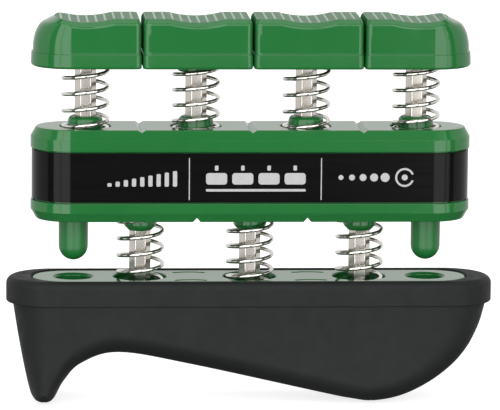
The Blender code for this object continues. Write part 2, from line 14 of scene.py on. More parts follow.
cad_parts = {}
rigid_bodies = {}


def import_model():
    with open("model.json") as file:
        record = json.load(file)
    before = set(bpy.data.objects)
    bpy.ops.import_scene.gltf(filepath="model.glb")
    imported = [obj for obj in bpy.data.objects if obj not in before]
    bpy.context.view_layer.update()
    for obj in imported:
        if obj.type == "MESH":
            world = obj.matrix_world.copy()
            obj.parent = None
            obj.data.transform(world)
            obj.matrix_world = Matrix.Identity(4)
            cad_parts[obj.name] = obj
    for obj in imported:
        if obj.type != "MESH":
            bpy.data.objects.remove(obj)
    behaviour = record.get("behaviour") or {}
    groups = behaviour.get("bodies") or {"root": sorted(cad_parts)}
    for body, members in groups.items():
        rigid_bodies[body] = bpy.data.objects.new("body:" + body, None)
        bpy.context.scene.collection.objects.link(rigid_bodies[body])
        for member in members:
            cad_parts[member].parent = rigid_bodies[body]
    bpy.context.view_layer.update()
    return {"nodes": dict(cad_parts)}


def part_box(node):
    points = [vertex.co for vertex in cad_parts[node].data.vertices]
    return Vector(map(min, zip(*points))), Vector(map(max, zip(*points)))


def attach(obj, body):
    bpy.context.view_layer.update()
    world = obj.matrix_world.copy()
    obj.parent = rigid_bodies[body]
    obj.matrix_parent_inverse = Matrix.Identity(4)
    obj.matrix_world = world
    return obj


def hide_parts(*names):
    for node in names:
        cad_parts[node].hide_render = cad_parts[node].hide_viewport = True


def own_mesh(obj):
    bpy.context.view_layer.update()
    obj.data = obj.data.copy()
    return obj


MM = 0.001
# Stands for no radius, where a turned profile ends on its axis.
ON_AXIS = 0.0001 * MM
# Points closer than this become one.
WELD = 0.0005 * MM

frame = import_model()


def span(node, axis):
    """A CAD node's lowest and highest value along axis 0, 1 or 2."""
    low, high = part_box(node)
    return low[axis], high[axis]


def middle(node, axis):
    low, high = span(node, axis)
    return (low + high) / 2


# ---- Sizes, from the frame and from the design ----

FINGERS = (1, 2, 3, 4)
PALM_POSTS = (1, 2, 3)
FINGER_X = [middle(f"finger_post_{number}", 0) for number in FINGERS]
PALM_X = [middle(f"palm_post_{number}", 0) for number in PALM_POSTS]
NOTCH_X = {"upper": PALM_X, "lower": FINGER_X[1:3]}
GUIDE_PIN_X = (-35.3 * MM, 35.3 * MM)

POST_FLATS = 3.8 * MM
POST_EDGE = 0.32 * MM
POST_CHAMFER = 0.3 * MM
GUIDE_FLATS = 4.04 * MM
GUIDE_FLARE = 0.12 * MM
SOCKET_FLATS = 3.9 * MM

WIRE_R = 0.4 * MM
COIL_R = 4.45 * MM
CLOSED_RISE = 2.12 * WIRE_R
# Height at which each coil first crosses its own front above the seat, and its pitch there.
FINGER_COILS = [
    (z * MM, pitch * MM) for z, pitch in ((55.85, 3.28), (57.1, 3.1), (55.65, 3.3), (56.8, 3.2))
]
PALM_COILS = [(z * MM, pitch * MM) for z, pitch in ((26.65, 3.38), (25.6, 3.07), (27.15, 3.27))]

KEY_BOTTOM, KEY_TOP = span("finger_key_1", 2)
KEY_HALF_DEPTH = span("finger_key_1", 1)[1]
KEY_SKIRT_TOP = 70.4 * MM
KEY_BORDER = 76.5 * MM
KEY_CEILING = 74.3 * MM
KEY_WALL = 1.9 * MM
KEY_END_WALL = 3.6 * MM
KEY_CORNER_R = 1.0 * MM
KEY_INNER_R = 0.4 * MM
KEY_BOSS_R = 3.7 * MM
KEY_SOCKET_TOP = 74.1 * MM
# How far above the skirt's rim a key's boss ends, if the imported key's isn't longer.
KEY_BOSS_RECESS = 0.7 * MM
SKIRT_PROUD = 0.42 * MM
SKIRT_DRAFT = 0.13 * MM
SHOULDER_LENGTH = 5.3 * MM
SHOULDER_POWER = 2.4
DIP_HALF = 5.35 * MM
DIP_DEPTH = 0.72 * MM
DIP_EASE = 0.06 * MM
RIB_COUNT = 11
RIB_PITCH = 1.737 * MM
RIB_OFFSET = 0.25 * MM
# A rib's cross-section: how far each point stands from its middle, and how high it rises.
RIB_SECTION = [
    (out * MM, up * MM)
    for out, up in ((-0.2, 0.0), (-0.13, 0.05), (-0.06, 0.08), (0.06, 0.08), (0.13, 0.05), (0.2, 0.0))
]

HOUSING_HALF = span("housing_upper_shell", 0)[1]
HOUSING_R = span("housing_upper_shell", 1)[1]
HOUSING_TOP = 55.3 * MM
HOUSING_BOTTOM = 36.9 * MM
LABEL_TOP = 51.1 * MM
LABEL_BOTTOM = 40.7 * MM
SHELL_SPLIT = 46.0 * MM
SPLIT_GAP = 0.15 * MM
SHELL_SETBACK = 0.8 * MM
SHELL_WALL = 2.2 * MM
ROOF_UNDER = 52.0 * MM
FLOOR_OVER = 39.6 * MM
RIM_IN = 1.07 * MM
RIM_UP = 1.9 * MM
# The roundings where the chamfered rim meets the side and the top.
RIM_LOWER_R = 0.06 * MM
RIM_UPPER_R = 0.35 * MM
LABEL_EDGE_R = 0.12 * MM
# How far a shell's profile runs in over its flat top or bottom, which then closes it.
FLAT_IN = 1.5 * MM

PLATE_HALF, PLATE_TOP = span("palm_plate", 0)[1], span("palm_plate", 2)[1]
PLATE_R = span("palm_plate", 1)[1]
LIP_HALF, LIP_TOP = span("palm_grip", 0)[1], span("palm_grip", 2)[1]
LIP_R = span("palm_grip", 1)[1]


# ---- Outlines and profiles ----

# Points along a quarter of a stadium's round end, for the pieces whose outlines show most.
FINE_STEPS = 32


def filleted(*corners, steps=4):
    """A chain of corners (u, v, radius), with each inner corner rounded to its radius."""
    points = [Vector(corners[0][:2])]
    for before, here, after in zip(corners, corners[1:], corners[2:]):
        corner = Vector(here[:2])
        back = (Vector(before[:2]) - corner).normalized()
        on = (Vector(after[:2]) - corner).normalized()
        half_angle = back.angle(on) / 2
        if here[2] == 0.0:
            points.append(corner)
            continue
        reach = here[2] / math.tan(half_angle)
        centre = corner + (back + on).normalized() * (here[2] / math.sin(half_angle))
        start = corner + back * reach - centre
        turn = (corner + on * reach - centre).angle_signed(start)
        for step in range(steps + 1):
            angle = turn * step / steps
            cos, sin = math.cos(angle), math.sin(angle)
            points.append(centre + Vector((start.x * cos - start.y * sin, start.x * sin + start.y * cos)))
    points.append(Vector(corners[-1][:2]))
    return [tuple(point) for point in points]


def arc(centre, radius, start, end, steps):
    """Points on an arc from start to end, in degrees."""
    angles = [math.radians(start + (end - start) * step / steps) for step in range(steps + 1)]
    return [(centre[0] + radius * math.cos(a), centre[1] + radius * math.sin(a)) for a in angles]


def stadium(half_length, radius, steps=24):
    right = arc((half_length - radius, 0.0), radius, -90, 90, 2 * steps)
    left = arc((radius - half_length, 0.0), radius, 90, 270, 2 * steps)
    return right + left


def hexagon(flats, edge_r, steps=3):
    """A hexagon with flats to the front and back. Its corners are rounded, or sharp if edge_r is 0."""
    if edge_r == 0.0:
        return arc((0, 0), flats / math.sqrt(3), 0, 300, 5)
    points = []
    inner = (flats / 2 - edge_r) / math.cos(math.pi / 6)
    for corner in range(6):
        angle = 60 * corner
        centre = (inner * math.cos(math.radians(angle)), inner * math.sin(math.radians(angle)))
        points += arc(centre, edge_r, angle - 30, angle + 30, steps)
    return points


def circle(radius, steps):
    return arc((0.0, 0.0), radius, 0, 360, steps)[:-1]


# ---- Meshes ----


def tidy_mesh(bm, name):
    bmesh.ops.remove_doubles(bm, verts=bm.verts, dist=WELD)
    bmesh.ops.recalc_face_normals(bm, faces=bm.faces)
    mesh = bpy.data.meshes.new(name)
    bm.to_mesh(mesh)
    bm.free()
    return mesh


def bridge(bm, rings):
    """Faces from each ring of vertices to the next."""
    count = len(rings[0])
    for low, high in zip(rings, rings[1:]):
        for here in range(count):
            there = (here + 1) % count
            bm.faces.new((low[here], low[there], high[there], high[here]))


def enclose(bm, rings):
    """Faces from each ring of vertices to the next, and over the first and last."""
    bridge(bm, rings)
    bm.faces.new(rings[0])
    bm.faces.new(rings[-1])


def lofted(name, sections, x=0.0):
    """A solid through flat sections that have equal numbers of points, each a height and an outline."""
    bm = bmesh.new()
    enclose(bm, [[bm.verts.new((x + px, py, z)) for px, py in outline] for z, outline in sections])
    return tidy_mesh(bm, name)


def stadium_loft(name, half_length, radius, profile, steps=24):
    """A solid of stadium sections from a profile of set-back and height."""
    return lofted(name, [(z, stadium(half_length - back, radius - back, steps)) for back, z in profile])


def turned(name, profile, x=0.0, steps=48):
    """A turned solid from a profile of radius and height."""
    return lofted(name, [(z, circle(radius, steps)) for radius, z in profile], x)


def in_scene(name, mesh):
    obj = bpy.data.objects.new(name, mesh)
    bpy.context.scene.collection.objects.link(obj)
    return obj


def evaluated(obj):
    """The object's mesh with its modifiers applied. The object goes."""
    graph = bpy.context.evaluated_depsgraph_get()
    mesh = bpy.data.meshes.new_from_object(obj.evaluated_get(graph))
    bpy.data.objects.remove(obj)
    return mesh


def shaped(mesh, *steps):
    """A mesh after Boolean steps, each an operation and the meshes that it joins or takes away."""
    name = mesh.name
    for operation, others in steps:
        obj = in_scene(name, mesh)
        tools = bpy.data.collections.new("tools")
        bpy.context.scene.collection.children.link(tools)
        for other in others:
            tools.objects.link(bpy.data.objects.new("tool", other))
        modifier = obj.modifiers.new("shape", "BOOLEAN")
        modifier.operation = operation
        modifier.operand_type = "COLLECTION"
        modifier.collection = tools
        modifier.solver = "EXACT"
        mesh = evaluated(obj)
        for tool in list(tools.objects):
            bpy.data.objects.remove(tool)
        bpy.data.collections.remove(tools)
    return mesh


def smooth(mesh, angle=32):
    """Smooth shading that leaves edges sharper than angle crisp and large flat faces flat."""
    mesh.shade_smooth()
    mesh.set_sharp_from_angle(angle=math.radians(angle))
    obj = in_scene("smoothing", mesh)
    weighted = obj.modifiers.new("weighted", "WEIGHTED_NORMAL")
    weighted.keep_sharp = True
    return evaluated(obj)


def piece(name, mesh, material, slot, body, *nodes):
    """A finished piece that stands for CAD nodes and moves with their body."""
    mesh.materials.clear()
    mesh.materials.append(material)
    obj = in_scene(name, mesh)
    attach(obj, body)
    if nodes:
        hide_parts(*nodes)
    return obj


# ---- Materials ----

# The part of its range, from 0 to 1, that a noise mostly keeps to.
NOISE_RANGE = (0.3, 0.7)


class Surface:
    """A Principled material whose colour, roughness and relief come from textures in object space."""

    def __init__(self, name, **constants):
        self.material = bpy.data.materials.new(name)
        self.material.use_nodes = True
        self.nodes = self.material.node_tree.nodes
        self.links = self.material.node_tree.links
        self.shader = self.nodes["Principled BSDF"]
        for socket, value in constants.items():
            self.shader.inputs[socket.replace("_", " ")].default_value = value
        self.place = self.nodes.new("ShaderNodeTexCoord").outputs["Object"]

    def noise(self, scale, detail=3.0, roughness=0.5):
        """Noise from 0 to 1. Scale is in features to the metre, one number or one for each axis."""
        stretch = self.nodes.new("ShaderNodeMapping")
        stretch.inputs["Scale"].default_value = scale if isinstance(scale, tuple) else (scale,) * 3
        self.links.new(self.place, stretch.inputs["Vector"])
        texture = self.nodes.new("ShaderNodeTexNoise")
        for socket, value in (("Scale", 1.0), ("Detail", detail), ("Roughness", roughness)):
            texture.inputs[socket].default_value = value
        self.links.new(stretch.outputs["Vector"], texture.inputs["Vector"])
        return texture.outputs["Fac"]

    def between(self, fac, low, high):
        """Spreads the part of its range that a noise mostly keeps to from low to high."""
        spread = self.nodes.new("ShaderNodeMapRange")
        for socket, value in zip(("From Min", "From Max", "To Min", "To Max"), (*NOISE_RANGE, low, high)):
            spread.inputs[socket].default_value = value
        self.links.new(fac, spread.inputs["Value"])
        return spread.outputs["Result"]

    def colour(self, fac, low, high):
        mix = self.nodes.new("ShaderNodeMix")
        mix.data_type = "RGBA"
        mix.inputs["A"].default_value = (*low, 1.0)
        mix.inputs["B"].default_value = (*high, 1.0)
        self.links.new(self.between(fac, 0.0, 1.0), mix.inputs["Factor"])
        self.links.new(mix.outputs["Result"], self.shader.inputs["Base Color"])

    def roughness(self, fac, low, high):
        self.links.new(self.between(fac, low, high), self.shader.inputs["Roughness"])

    def relief(self, fac, strength, height):
        bump = self.nodes.new("ShaderNodeBump")
        bump.inputs["Strength"].default_value = strength
        bump.inputs["Distance"].default_value = height
        self.links.new(fac, bump.inputs["Height"])
        for earlier in self.shader.inputs["Normal"].links:
            self.links.new(earlier.from_socket, bump.inputs["Normal"])
        self.links.new(bump.outputs["Normal"], self.shader.inputs["Normal"])


def green_plastic(name, low_roughness, high_roughness, grain, gloss=0.5):
    """Moulded plastic: faint cloudy colour, and a fine grain left by the mould."""
    surface = Surface(name, IOR=1.5, Specular_IOR_Level=gloss)
    surface.colour(surface.noise(45, 2.0), (0.0105, 0.118, 0.0245), (0.0125, 0.132, 0.0285))
    surface.roughness(surface.noise(260, 4.0), low_roughness, high_roughness)
    surface.relief(surface.noise(120, 2.0), 0.12, 0.02 * MM)
    surface.relief(surface.noise(5200, 2.0), grain, 0.01 * MM)
    return surface.material


def steel(name, colour, low_roughness, high_roughness, grain_scale, grain):
    """Nickel plate: slightly uneven colour, and drawing lines along the bar or wire."""
    surface = Surface(name, Metallic=1.0)
    darker = tuple(value * 0.94 for value in colour)
    surface.colour(surface.noise(150, 1.0), darker, colour)
    surface.roughness(surface.noise(220, 1.0), low_roughness, high_roughness)
    surface.relief(surface.noise(grain_scale, 2.0), grain, 0.01 * MM)
    return surface.material


def black_film():
    """Black printed film with faint drag lines along it."""
    surface = Surface("black_film", IOR=1.5, Specular_IOR_Level=0.14)
    surface.colour(surface.noise((40, 40, 1500), 3.0), (0.0026, 0.0026, 0.0026), (0.0038, 0.0038, 0.0036))
    surface.roughness(surface.noise((60, 60, 1200), 3.0), 0.1, 0.14)
    surface.relief(surface.noise(200, 2.0), 0.03, 0.01 * MM)
    return surface.material


def white_ink():
    surface = Surface("white_ink", IOR=1.5, Specular_IOR_Level=0.3)
    surface.colour(surface.noise(900, 3.0), (0.37, 0.37, 0.37), (0.4, 0.4, 0.4))
    surface.roughness(surface.noise(600, 2.0), 0.4, 0.5)
    return surface.material


def black_rubber():
    """Moulded rubber: matt, slightly clouded, with a fine pebbled skin."""
    surface = Surface("black_rubber", IOR=1.5, Specular_IOR_Level=0.16)
    surface.colour(surface.noise(70, 4.0), (0.0105, 0.0112, 0.0115), (0.013, 0.0137, 0.014))
    surface.roughness(surface.noise(500, 4.0), 0.5, 0.66)
    surface.relief(surface.noise(110, 3.0), 0.1, 0.05 * MM)
    surface.relief(surface.noise(3600, 2.0), 0.3, 0.02 * MM)
    return surface.material


GREEN = green_plastic("green_plastic", 0.07, 0.12, 0.03)
GREEN_SATIN = green_plastic("green_plastic_satin", 0.27, 0.33, 0.05, 0.42)
GREEN_DULL = green_plastic("green_plastic_dull", 0.6, 0.7, 0.12, 0.05)
GREEN_MATT = green_plastic("green_plastic_matt", 0.38, 0.44, 0.12)
BAR_NICKEL = steel("nickel_bar", (0.65, 0.62, 0.57), 0.19, 0.23, (2400, 2400, 60), 0.01)
WIRE_NICKEL = steel("nickel_wire", (0.72, 0.7, 0.66), 0.07, 0.12, 1800, 0.02)
LABEL_FILM = black_film()
LABEL_INK = white_ink()
RUBBER = black_rubber()


# ---- Finger keys ----


KEY_SPANS = {number: span(f"finger_key_{number}", 0) for number in FINGERS}


def key_ends(number):
    """A key's left and right end, and whether each is the row's round outer end."""
    left, right = KEY_SPANS[number]
    return left, right, number == FINGERS[0], number == FINGERS[-1]


def shoulder(z):
    """How far an outer end is drawn in at this height."""
    up = min(max(z - KEY_SKIRT_TOP, 0.0) / (KEY_TOP - KEY_SKIRT_TOP), 1.0)
    return SHOULDER_LENGTH * (1 - (1 - up**SHOULDER_POWER) ** (1 / SHOULDER_POWER))


def shoulder_drop(inward):
    """How far below the top the surface lies at this distance in from an outer end."""
    along = min(max(inward / SHOULDER_LENGTH, 0.0), 1.0)
    rise = (1 - (1 - along) ** SHOULDER_POWER) ** (1 / SHOULDER_POWER)
    return (KEY_TOP - KEY_SKIRT_TOP) * (1 - rise)


TOP_RING_DROP = 0.12 * MM
# How much of the front's set-back each end has: an outer end's top edge, and an inner end's skirt
# and top edge.
OUTER_TOP_SHARE = 0.3
INNER_SKIRT_SHARE = 0.35
INNER_TOP_SHARE = 0.42
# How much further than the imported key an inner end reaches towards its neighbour.
INNER_REACH = 0.15 * MM
# How squarely a face has to face the next key to belong to the dull end wall.
JOINT_FACING = 0.8
WALL_LEVELS = 16
# Shares of the skirt's height with extra levels, close to its edges, which keep it flat in the shading.
SKIRT_UPS = (0.04, 0.96)
# A wall or skirt taller than this gets extra levels.
TALL = 2 * MM
END_FALL = 0.3 * MM
# The dip and the outer ends' fall grow to full strength from a height, over a height.
DIP_FROM, DIP_OVER = KEY_BORDER - 2.5 * MM, 2.3 * MM
FALL_FROM, FALL_OVER = KEY_TOP - 1.6 * MM, 1.2 * MM


class KeyRing:
    """One level of a key: its outline at one height, set back all round."""

    def __init__(self, number, back, z, inside=False):
        left, right, left_outer, right_outer = key_ends(number)
        self.z = z
        self.half = KEY_HALF_DEPTH - back
        extra = KEY_END_WALL - KEY_WALL if inside else 0.0
        self.left, self.left_x, self.left_y = self.end(left, 1, left_outer, back, extra, inside)
        self.right, self.right_x, self.right_y = self.end(right, -1, right_outer, back, extra, inside)

    def end(self, x, inward, outer, back, extra, inside):
        """An end's place, and its corners' radii along and across the key."""
        over_skirt = max(back - SKIRT_PROUD, 0.0)
        if inside:
            radius = self.half if outer else KEY_INNER_R
            return x + inward * (back + (extra if outer else 0.0)), radius, radius
        if not outer:
            step_in = min(back, SKIRT_PROUD) * INNER_SKIRT_SHARE + over_skirt * INNER_TOP_SHARE
            return x + inward * (step_in - INNER_REACH), KEY_CORNER_R - step_in / 2, KEY_CORNER_R
        drawn = shoulder(min(self.z, KEY_TOP - TOP_RING_DROP))
        place = x + inward * (min(back, SKIRT_PROUD) + over_skirt * OUTER_TOP_SHARE + drawn)
        return place, self.half - drawn, self.half

    def front(self, places):
        """Points from left to right, at places (zone, share) as found by place_of."""
        points = []
        for zone, share in places:
            if zone == "left":
                x = self.left + self.left_x * (1 - math.cos(share))
                y = self.half - self.left_y * (1 - math.sin(share))
            elif zone == "right":
                x = self.right - self.right_x * (1 - math.cos(share))
                y = self.half - self.right_y * (1 - math.sin(share))
            else:
                start, end = self.left + self.left_x, self.right - self.right_x
                x = start + (end - start) * share
                y = self.half
            points.append((x, -y))
        return points

    def place_of(self, x):
        """The zone that x is in, and where: an angle round a corner, or a share of the side."""
        if x < self.left + self.left_x:
            return "left", math.acos(1 - (x - self.left) / self.left_x)
        if x > self.right - self.right_x:
            return "right", math.acos(1 - (self.right - x) / self.right_x)
        start, end = self.left + self.left_x, self.right - self.right_x
        return "side", (x - start) / (end - start)


def rib_middles(number):
    first = FINGER_X[number - 1] + RIB_OFFSET - RIB_PITCH * (RIB_COUNT - 1) / 2
    return [first + RIB_PITCH * rib for rib in range(RIB_COUNT)]


def dip(number, x):
    """How far the finger dip lowers the top here: a shallow cylinder with eased edges."""
    along = (x - FINGER_X[number - 1]) / DIP_HALF
    depth = DIP_DEPTH * (1 - along * along)
    return (depth + math.hypot(depth, DIP_EASE)) / 2


def rib_height(number, x):
    for centre in rib_middles(number):
        for (near, low), (far, high) in zip(RIB_SECTION, RIB_SECTION[1:]):
            if near <= x - centre <= far:
                return low + (high - low) * (x - centre - near) / (far - near)
    return 0.0


# Points of a key's rings: on the ground after each rib as shares of the pitch, and round its corners.
GROUND_SHARES = (0.3, 0.5, 0.7)
ROUND_END_STEPS = 14
CORNER_STEPS = 5
# How far from the key's ends its ribs may have points, and how far apart points round a corner stay.
END_MARGIN = 0.1 * MM
LEAST_TURN = 0.03
ZONES = ("left", "side", "right")


def key_places(number, top):
    """Where along the key its rings have points: at each rib's edges, and evenly round the corners."""
    stations = []
    for centre in rib_middles(number):
        stations += [centre + point[0] for point in RIB_SECTION]
        stations += [centre + RIB_PITCH * share for share in GROUND_SHARES]
    places = [top.place_of(x) for x in stations if top.left + END_MARGIN < x < top.right - END_MARGIN]
    for zone, wide in (("left", top.left_x), ("right", top.right_x)):
        steps = ROUND_END_STEPS if wide > 2 * KEY_CORNER_R else CORNER_STEPS
        turns = [math.pi / 2 * step / steps for step in range(steps + 1)]
        taken = [share for found, share in places if found == zone]
        places += [(zone, turn) for turn in turns if all(abs(turn - other) > LEAST_TURN for other in taken)]

    def from_left(place):
        zone, share = place
        return ZONES.index(zone), -share if zone == "right" else share

    return sorted(places, key=from_left)


def key_mesh(number):
    """A hollow key as one skin: inner roof, rim, skirt, walls, soft chamfer and ribbed, dipped top.

    Each corner of its profile is how far it is set back, its height and its rounding.
    """
    outer = filleted(
        (KEY_WALL + 1.2 * MM, KEY_CEILING, 0.0),
        (KEY_WALL, KEY_CEILING, 0.5 * MM),
        (KEY_WALL, KEY_BOTTOM, 0.25 * MM),
        (0.0, KEY_BOTTOM, 0.55 * MM),
        (SKIRT_DRAFT, KEY_SKIRT_TOP, 0.08 * MM),
        (SKIRT_PROUD, KEY_SKIRT_TOP, 0.05 * MM),
        (SKIRT_PROUD, KEY_BORDER, 0.8 * MM),
        (1.35 * MM, KEY_TOP - 0.04 * MM, 0.4 * MM),
        (1.9 * MM, KEY_TOP, 0.0),
    )
    levels = []
    wall_ups = [math.sin(math.pi / 2 * step / WALL_LEVELS) for step in range(1, WALL_LEVELS)]
    for (back, z), (next_back, next_z) in zip(outer, outer[1:]):
        levels.append((back, z))
        if next_z - z > TALL:
            on_wall = abs(back - SKIRT_PROUD) < 0.01 * MM
            ups = wall_ups if on_wall else SKIRT_UPS
            levels += [(back + (next_back - back) * up, z + (next_z - z) * up) for up in ups]
    levels.append(outer[-1])
    # From its lowest level on, the skin is on the outside.
    lowest = next(step for step, level in enumerate(levels) if level[1] <= KEY_BOTTOM + 1e-9)
    rings = [KeyRing(number, back, z, inside=step < lowest) for step, (back, z) in enumerate(levels)]
    top = rings[-1]
    places = key_places(number, top)
    left, right, left_outer, right_outer = key_ends(number)

    def lowered(x, z, ribbed):
        """The height of a point once the dip, the outer end's fall and the ribs have moved it."""
        share = min(max((z - DIP_FROM) / DIP_OVER, 0.0), 1.0)
        z -= dip(number, x) * share * share * (3 - 2 * share)
        top_share = min(max((z - FALL_FROM) / FALL_OVER, 0.0), 1.0)
        if left_outer:
            z -= min(shoulder_drop(x - left - SKIRT_PROUD), END_FALL) * top_share
        if right_outer:
            z -= min(shoulder_drop(right - SKIRT_PROUD - x), END_FALL) * top_share
        return z + (rib_height(number, x) if ribbed else 0.0)

    bm = bmesh.new()
    made = []
    for step, ring in enumerate(rings):
        ribbed = step == len(rings) - 1
        outside = step >= lowest
        front = ring.front(places)
        loop = front + [(x, -y) for x, y in reversed(front)]
        heights = [lowered(point[0], ring.z, ribbed) if outside else ring.z for point in loop]
        made.append([bm.verts.new((x, y, z)) for (x, y), z in zip(loop, heights)])
    bridge(bm, made)
    count = len(made[0])
    for ring in (made[0], made[-1]):
        for here in range(count // 2 - 1):
            bm.faces.new((ring[here], ring[here + 1], ring[count - 2 - here], ring[count - 1 - here]))
    return tidy_mesh(bm, f"finger_key_{number}_moulding")


def boss_bottom(number):
    """Where a key's boss ends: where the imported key's does, if below the skirt, or else above its rim."""
    own_low = span(f"finger_key_{number}", 2)[0]
    return own_low if own_low <= KEY_BOTTOM - 0.1 * MM else KEY_BOTTOM + KEY_BOSS_RECESS


def build_key(number):
    x = FINGER_X[number - 1]
    boss_low = boss_bottom(number)
    boss = filleted(
        (ON_AXIS, boss_low, 0.0),
        (KEY_BOSS_R, boss_low, 0.4 * MM),
        (KEY_BOSS_R, KEY_CEILING + MM, 0.0),
    )
    socket = [(z, hexagon(SOCKET_FLATS, 0.0)) for z in (boss_low - MM, KEY_SOCKET_TOP)]
    mesh = shaped(
        key_mesh(number),
        ("UNION", [turned("boss", boss, x)]),
        ("DIFFERENCE", [lofted("socket", socket, x)]),
    )
    key = f"finger_key_{number}"
    mesh = smooth(mesh)
    piece(f"{key}_moulding", mesh, GREEN, "green_plastic", f"finger_{number}", key)
    mesh.materials.append(GREEN_MATT)
    mesh.materials.append(GREEN_DULL)
    for face in mesh.polygons:
        if on_tread(number, face):
            face.material_index = 1
        if on_joint(number, face):
            face.material_index = 2


# The matt ground is higher than this, faces up at least this squarely, and rises less than the ribs.
TREAD_LOW = KEY_TOP - DIP_DEPTH - END_FALL - 0.05 * MM
TREAD_FACING = 0.96
TREAD_RISE = 0.04 * MM


def on_tread(number, face):
    """Whether a key's face is on the matt ground between the ribs of its top."""
    level = face.center.z > TREAD_LOW and face.normal.z > TREAD_FACING
    return level and rib_height(number, face.center.x) < TREAD_RISE


def on_joint(number, face):
    """Whether a key's face is on the dull end wall that meets the next key."""
    left, right, left_outer, right_outer = key_ends(number)
    at_left = not left_outer and face.center.x < left + KEY_CORNER_R and face.normal.x < -JOINT_FACING
    at_right = not right_outer and face.center.x > right - KEY_CORNER_R and face.normal.x > JOINT_FACING
    return at_left or at_right


# ---- Posts, washers and springs ----


def build_post(node, body):
    low, high = span(node, 2)
    bar = hexagon(POST_FLATS, POST_EDGE)
    end = hexagon(POST_FLATS - 2 * POST_CHAMFER, POST_EDGE)
    sections = ((low, end), (low + POST_CHAMFER, bar), (high - POST_CHAMFER, bar), (high, end))
    mesh = lofted(f"{node}_bar", sections, middle(node, 0))
    piece(f"{node}_bar", smooth(mesh, angle=25), BAR_NICKEL, "nickel_steel", body, node)


# Points along each turn of a coil and round the wire, and the share of its radius that its ends keep.
COIL_STEPS = 40
WIRE_SIDES = 14
WIRE_END = 0.6


def coil_line(low, high, front, pitch):
    """The wire's middle line: a closed turn at each end, and open turns between.

    The open turns have the given pitch and cross the front at the given height.
    """
    turn_low = (low + CLOSED_RISE - front) / pitch
    turn_high = (high - CLOSED_RISE - front) / pitch
    steps = math.ceil((turn_high - turn_low + 2) * COIL_STEPS)
    points = []
    for step in range(steps + 1):
        turn = min(turn_low - 1 + step / COIL_STEPS, turn_high + 1)
        z = front + pitch * turn
        if turn < turn_low:
            z = low + CLOSED_RISE * (turn - turn_low + 1)
        if turn > turn_high:
            z = high - CLOSED_RISE * (turn_high + 1 - turn)
        angle = 2 * math.pi * turn - math.pi / 2
        points.append(Vector((COIL_R * math.cos(angle), COIL_R * math.sin(angle), z)))
    return points


def wire_mesh(name, line, x):
    """A round wire along a line round the z axis, with its ends drawn in."""
    bm = bmesh.new()
    rings = []
    last = len(line) - 1
    for here, point in enumerate(line):
        along = (line[min(here + 1, last)] - line[max(here - 1, 0)]).normalized()
        outward = Vector((point.x, point.y, 0.0)).normalized()
        upward = along.cross(outward).normalized()
        radius = WIRE_R * (WIRE_END if here in (0, last) else 1.0)
        ring = []
        for side in range(WIRE_SIDES):
            angle = 2 * math.pi * side / WIRE_SIDES
            place = point + (outward * math.cos(angle) + upward * math.sin(angle)) * radius
            ring.append(bm.verts.new(place + Vector((x, 0.0, 0.0))))
        rings.append(ring)
    enclose(bm, rings)
    return tidy_mesh(bm, name)


def build_spring(node, coil, body):
    """A coil spring that stays on its lower seat as its joint closes, moving with that seat's body."""
    low, high = span(node, 2)
    front, pitch = coil
    line = coil_line(low + WIRE_R, high - WIRE_R, front, pitch)
    mesh = wire_mesh(f"{node}_coil", line, middle(node, 0))
    mesh.shade_smooth()
    mesh.set_sharp_from_angle(angle=math.radians(60))
    spring = piece(f"{node}_coil", mesh, WIRE_NICKEL, "spring_wire", body, node)
    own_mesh(spring)


def build_fingers():
    for number in FINGERS:
        body = f"finger_{number}"
        build_key(number)
        build_post(f"finger_post_{number}", body)
        build_spring(f"finger_spring_{number}", FINGER_COILS[number - 1], "housing")


# ---- Housing ----

# Half of a notch's section in millimetres, from its bottom out past the surface, which is at 0.
NOTCH = [(0.0, 0.78), (0.06, 0.74), (0.72, 0.06), (0.86, -0.02), (1.6, -0.3), (1.6, -1.5)]


def notch(x, z, depth):
    """A bar that cuts a V-shaped groove with flared edges from front to back, up or down from z."""
    inward = depth / (NOTCH[0][1] * MM)
    section = [(-u, v) for u, v in NOTCH[:0:-1]] + NOTCH
    bm = bmesh.new()
    ends = []
    for y in (-2 * HOUSING_R, 2 * HOUSING_R):
        ends.append([bm.verts.new((x + u * MM, y, z + inward * v * MM)) for u, v in section])
    enclose(bm, ends)
    return tidy_mesh(bm, "notch")


def cup(name, radius, floor, top, edge, x, steps=64):
    """A cutter for a round pocket: a filleted floor and a flared rim."""
    profile = filleted(
        (ON_AXIS, floor, 0.0),
        (radius, floor, edge),
        (radius, top - edge, 0.3 * MM),
        (radius + edge, top, 0.0),
        (radius + edge + 0.5 * MM, top + MM, 0.0),
    )
    return turned(name, profile, x, steps)


def guide_hole(low, high, x):
    """A cutter for a post's hexagonal hole with flared mouths."""
    levels = [(low - MM, GUIDE_FLARE + MM), (low, GUIDE_FLARE), (low + GUIDE_FLARE, 0.0)]
    levels += [(high - GUIDE_FLARE, 0.0), (high, GUIDE_FLARE), (high + MM, GUIDE_FLARE + MM)]
    return lofted("guide", [(z, hexagon(GUIDE_FLATS + 2 * wide, 0.0)) for z, wide in levels], x)


# Two pegs under the roof locate the upper shell in holes that stand on the lower shell's floor.
PEG_X = (-39.7 * MM, 39.7 * MM)
PEG_R, PEG_BOTTOM = 1.1 * MM, 41.9 * MM
PEG_SOCKET_R, PEG_SOCKET_TOP = 2.1 * MM, 45.2 * MM
PEG_HOLE_R, PEG_HOLE_SPAN = 1.22 * MM, (41.4 * MM, 46.5 * MM)
